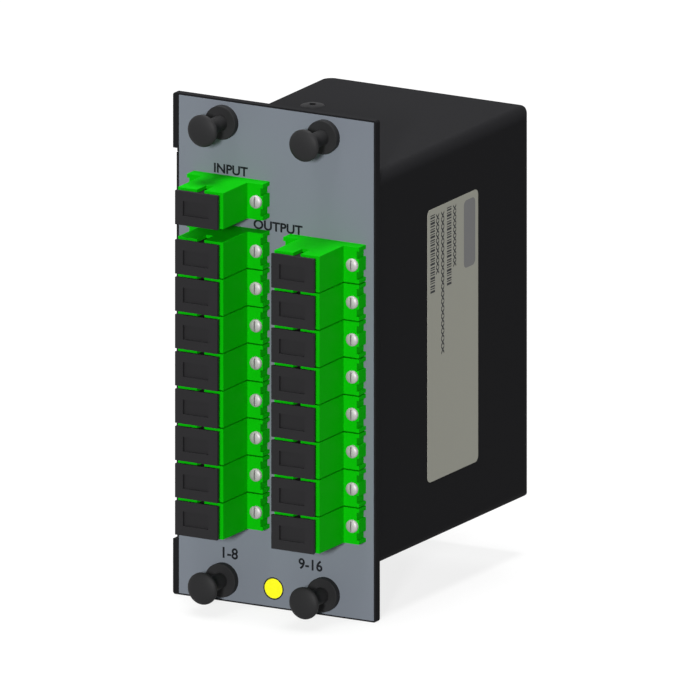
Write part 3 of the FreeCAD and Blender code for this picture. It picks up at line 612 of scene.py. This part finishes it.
class SPLITTER_OT_mould_adapters(bpy.types.Operator):
    """Give the green adapters and their ceramic sleeves their finish"""
    bl_idname = "splitter.mould_adapters"
    bl_label = "Mould Adapters"

    def execute(self, context):
        green = finish_with(
            "green_moulding", spread(settings().port.adapter_colour, amount=0.04),
            roughness=(0.55, 0.67), grain_mm=0.18, mottle_mm=6.0, depth_mm=0.006, specular=0.05)
        coat(green, *["adapter_" + port for port in PORTS])
        ceramic = finish_with(
            "white_ceramic", spread((0.82, 0.81, 0.77), amount=0.02), roughness=(0.1, 0.2),
            grain_mm=0.2, mottle_mm=3.0, depth_mm=0.002, specular=0.5)
        coat(ceramic, "alignment_sleeves")
        return {"FINISHED"}


class SPLITTER_OT_mould_caps(bpy.types.Operator):
    """Mould the dust caps with a shallow recess in the face, a neck and a plug"""
    bl_idname = "splitter.mould_caps"
    bl_label = "Mould Caps"

    def execute(self, context):
        port = settings().port
        black = finish_with(
            "black_cap_moulding", spread(port.cap_colour, amount=0.08),
            roughness=(0.58, 0.7), grain_mm=0.2, mottle_mm=5.0, depth_mm=0.008, specular=0.06)
        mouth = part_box("adapter_in")[0].y
        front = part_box("dust_cap_in")[0].y
        plate = 0.8 * MM

        # Half the width and half the height of the neck and of the plug, and where they start and end
        neck = Vector((4.9 * MM, 0.0, 3.4 * MM))
        plug = Vector((4.45 * MM, 0.0, 3.65 * MM))
        neck_start = front + plate - 0.02 * MM
        neck_end = mouth - 0.1 * MM
        plug_start = neck_end - 0.05 * MM
        plug_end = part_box("dust_cap_in")[1].y
        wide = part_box("dust_cap_in")[1].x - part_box("dust_cap_in")[0].x
        blank = bmesh.new()
        add_patch(blank, (-wide / 2, front, -port.cap_height / 2),
                  (wide / 2, front + plate, port.cap_height / 2))
        bmesh.ops.bevel(blank, geom=blank.edges[:], offset=port.cap_edge, offset_type="OFFSET",
                        segments=2, profile=0.5, affect="EDGES", material=-1)
        cutter = bmesh.new()
        left = port.recess_inset - wide / 2
        add_patch(cutter, (left, front - plate, -port.recess_height / 2),
                  (left + port.recess_width, front + plate * 2, port.recess_height / 2))
        cap = cut_from(blank, cutter, "cap_plate")
        for name in PORTS:
            corner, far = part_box("adapter_" + name)
            middle = Vector(((corner.x + far.x) / 2, 0.0, (corner.z + far.z) / 2))
            form = bmesh.new()
            add_copy(form, cap, middle)
            for reach, start, end in ((neck, neck_start, neck_end), (plug, plug_start, plug_end)):
                add_patch(form, middle - reach + Vector((0, start, 0)),
                          middle + reach + Vector((0, end, 0)))
            piece = object_from(form, "moulded_cap_" + name, black, "cap_" + name)
            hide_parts("dust_cap_" + name)
        return {"FINISHED"}


class SPLITTER_OT_turn_flange_screws(bpy.types.Operator):
    """Turn the domed, slotted screws that hold the adapters' flanges"""
    bl_idname = "splitter.turn_flange_screws"
    bl_label = "Turn Flange Screws"

    def execute(self, context):
        port = settings().port
        low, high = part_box("adapter_screws")
        head = 1.68 * MM
        shank = 1.0 * MM
        rise = 1.0 * MM
        from_centre = 9.05 * MM
        slot_reach = head * 0.8
        rim = rise - port.screw_crown
        length = high.y - low.y - rise
        steps = 6
        angles = [math.radians(90 * step / steps) for step in range(1, steps + 1)]
        arc = [(head * math.sin(angle), -rim - port.screw_crown * math.cos(angle), 0.0)
               for angle in angles]
        profile = [(0.0, -rise, 0.0)] + arc
        profile += [(head, 0.0, 0.0), (shank, 0.0, 0.0), (shank, length, 0.0), (0.0, length, 0.0)]
        cutter = bmesh.new()
        add_patch(cutter, (-port.screw_slot / 2, -rise * 1.5, -slot_reach),
                  (port.screw_slot / 2, port.slot_depth - rise, slot_reach))
        screw = cut_from(turned(profile, (0, 1, 0), port.screw_sides), cutter, "flange_screw")
        seat = low.y + rise
        row = bmesh.new()
        for name in PORTS:
            corner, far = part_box("adapter_" + name)
            middle = (corner.x + far.x) / 2
            level = (corner.z + far.z) / 2
            for side in (-from_centre, from_centre):
                add_copy(row, screw, (middle + side, seat, level))
        steel = finish_with(
            "bright_screw_steel", spread(port.screw_colour, amount=0.04), roughness=(0.42, 0.52),
            grain_mm=0.12, mottle_mm=1.5, depth_mm=0.003, specular=0.35, metallic=0.2)
        screws = object_from(row, "flange_screws", steel)
        smooth(screws)
        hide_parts("adapter_screws")
        return {"FINISHED"}


class SPLITTER_OT_mould_latches(bpy.types.Operator):
    """Give the latch collars and plungers their moulded finish"""
    bl_idname = "splitter.mould_latches"
    bl_label = "Mould Latches"

    def execute(self, context):
        nylon = finish_with(
            "black_latch_moulding", spread(settings().latch.latch_colour, amount=0.08),
            roughness=(0.48, 0.6), grain_mm=0.2, mottle_mm=5.0, depth_mm=0.006, specular=0.1)
        coat(nylon, *["latch_grommet_%d" % number for number in LATCHES])
        coat(nylon, *["latch_plunger_%d" % number for number in LATCHES])
        return {"FINISHED"}


class SPLITTER_OT_finish_inside(bpy.types.Operator):
    """Finish the splitter chip, fibre coil, clips, plugs and boots inside the housing"""
    bl_idname = "splitter.finish_inside"
    bl_label = "Finish Inside"

    def execute(self, context):
        drawn = finish_with(
            "drawn_steel", spread((0.6, 0.6, 0.6), amount=0.05), roughness=(0.25, 0.4),
            grain_mm=0.2, mottle_mm=6.0, depth_mm=0.003, specular=0.5, metallic=1.0,
            stretch=(1.0, 1.0, 0.05))
        coat(drawn, "splitter_chip")
        glass = finish_with(
            "white_fibre_coating", spread((0.82, 0.82, 0.77), amount=0.04), roughness=(0.3, 0.45),
            grain_mm=0.25, mottle_mm=3.0, depth_mm=0.02, specular=0.4)
        coat(glass, "fibre_coil")
        moulded = finish_with(
            "inner_moulding", spread((0.05, 0.35, 0.12), amount=0.06), roughness=(0.4, 0.55),
            grain_mm=0.2, mottle_mm=5.0, depth_mm=0.006, specular=0.3)
        coat(moulded, "inner_plugs", "chip_clips", "coil_clips")
        soft = finish_with(
            "boot_moulding", spread((0.05, 0.3, 0.1), amount=0.06), roughness=(0.55, 0.7),
            grain_mm=0.2, mottle_mm=4.0, depth_mm=0.01, specular=0.2)
        coat(soft, "plug_boots")
        return {"FINISHED"}


class SPLITTER_OT_set_stage(bpy.types.Operator):
    """Set up the floor, the lamps, the surround and the camera"""
    bl_idname = "splitter.set_stage"
    bl_label = "Set Stage"

    def execute(self, context):
        stage = settings().stage
        scene = context.scene
        back = Vector((math.sin(stage.azimuth) * math.cos(stage.elevation),
                       -math.cos(stage.azimuth) * math.cos(stage.elevation), math.sin(stage.elevation)))
        lens = bpy.data.cameras.new("photo_camera")
        lens.type = "ORTHO"
        lens.ortho_scale = stage.view_width
        lens.clip_end = 20.0
        camera = bpy.data.objects.new("photo_camera", lens)
        camera.location = Vector(stage.look_at) + back
        camera.rotation_euler = back.to_track_quat("Z", "Y").to_euler()
        scene.collection.objects.link(camera)
        scene.camera = camera

        # Each lamp's strength, its spread in degrees, where it stands, and whether it shines in gloss
        for name, power, angle, towards, glossy in (
                ("front_lamp", stage.front_light, 6, (0.34, -0.91, 0.24), True),
                ("top_lamp", stage.top_light, 24, (0.0, -0.03, 1.0), True),
                ("back_lamp", stage.back_light, 20, (-0.62, 0.62, 0.48), False)):
            lamp = bpy.data.lights.new(name, "SUN")
            lamp.energy = power
            lamp.angle = math.radians(angle)
            holder = bpy.data.objects.new(name, lamp)
            holder.rotation_euler = Vector(towards).to_track_quat("Z", "Y").to_euler()
            holder.visible_glossy = glossy
            scene.collection.objects.link(holder)

        world = bpy.data.worlds.new("surround")
        scene.world = world
        sky = Tree(world)
        paths = sky.node("ShaderNodeLightPath")
        seen = self.seen(paths)
        shade = sky.node("ShaderNodeBackground", {}, {
            "Color": (1, 1, 1, 1), "Strength": seen * (1.0 - stage.surround) + stage.surround})
        sky.node("ShaderNodeOutputWorld", {}, {"Surface": shade.out()})

        half_floor = 3.0
        under = 0.05 * MM
        floor = bmesh.new()
        bmesh.ops.create_grid(floor, x_segments=2, y_segments=2, size=half_floor)
        bmesh.ops.translate(floor, vec=(0, 0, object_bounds()[0].z - under), verts=floor.verts)
        mesh = bpy.data.meshes.new("floor")
        floor.to_mesh(mesh)
        floor.free()
        pale = bpy.data.materials.new("pale_floor")
        tree = Tree(pale)
        light = tree.node("ShaderNodeBsdfDiffuse", {}, {"Color": solid(stage.floor_colour)}).out()
        glow = tree.node("ShaderNodeEmission", {}, {"Color": (1, 1, 1, 1), "Strength": 1.0}).out()
        shown = tree.node("ShaderNodeMixShader", {}, {0: stage.floor_glow, 1: light, 2: glow}).out()
        dim = tree.node("ShaderNodeBsdfDiffuse", {}, {"Color": (0.2, 0.2, 0.2, 1)}).out()
        share = self.seen(tree.node("ShaderNodeLightPath"))
        mixed = tree.node("ShaderNodeMixShader", {}, {0: share, 1: dim, 2: shown}).out()
        tree.node("ShaderNodeOutputMaterial", {}, {"Surface": mixed})
        mesh.materials.append(pale)
        ground = bpy.data.objects.new("floor", mesh)
        scene.collection.objects.link(ground)
        ground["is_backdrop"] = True
        scene.view_settings.view_transform = "Standard"
        return {"FINISHED"}

    @staticmethod
    def seen(paths):
        """1 for what the camera sees, straight, mirrored or through glass."""
        straight = paths.out("Is Camera Ray")
        return straight.highest(paths.out("Is Glossy Ray")).highest(paths.out("Is Transmission Ray"))


STEPS = (
    SPLITTER_OT_coat_housing,
    SPLITTER_OT_turn_cover_screws,
    SPLITTER_OT_print_face,
    SPLITTER_OT_print_label,
    SPLITTER_OT_mould_adapters,
    SPLITTER_OT_mould_caps,
    SPLITTER_OT_turn_flange_screws,
    SPLITTER_OT_mould_latches,
    SPLITTER_OT_finish_inside,
    SPLITTER_OT_set_stage,
)


class SPLITTER_PT_steps(bpy.types.Panel):
    """Steps and settings of the splitter cassette"""
    bl_idname = "SPLITTER_PT_steps"
    bl_label = "Fibre Splitter"
    bl_space_type = "VIEW_3D"
    bl_region_type = "UI"
    bl_category = "Splitter"

    def draw(self, context):
        for group in ("sheet", "prints", "port", "latch", "stage"):
            box = self.layout.box()
            chosen = getattr(context.scene.splitter, group)
            for name in chosen.__annotations__:
                box.prop(chosen, name)
        for step in STEPS:
            self.layout.operator(step.bl_idname)


CLASSES = (
    SplitterSheetSettings,
    SplitterPrintSettings,
    SplitterPortSettings,
    SplitterLatchSettings,
    SplitterStageSettings,
    SplitterSettings,
) + STEPS + (SPLITTER_PT_steps,)


def register():
    for kind in CLASSES:
        bpy.utils.register_class(kind)
    bpy.types.Scene.splitter = PointerProperty(
        type=SplitterSettings, name="Splitter", description="Sizes and colours of the splitter cassette")


def unregister():
    del bpy.types.Scene.splitter
    for kind in reversed(CLASSES):
        bpy.utils.unregister_class(kind)


def main():
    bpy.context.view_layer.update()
    register()
    bpy.ops.splitter.coat_housing()
    bpy.ops.splitter.turn_cover_screws()
    bpy.ops.splitter.print_face()
    bpy.ops.splitter.print_label()
    bpy.ops.splitter.mould_adapters()
    bpy.ops.splitter.mould_caps()
    bpy.ops.splitter.turn_flange_screws()
    bpy.ops.splitter.mould_latches()
    bpy.ops.splitter.finish_inside()
    bpy.ops.splitter.set_stage()


if __name__ == "__main__":
    main()
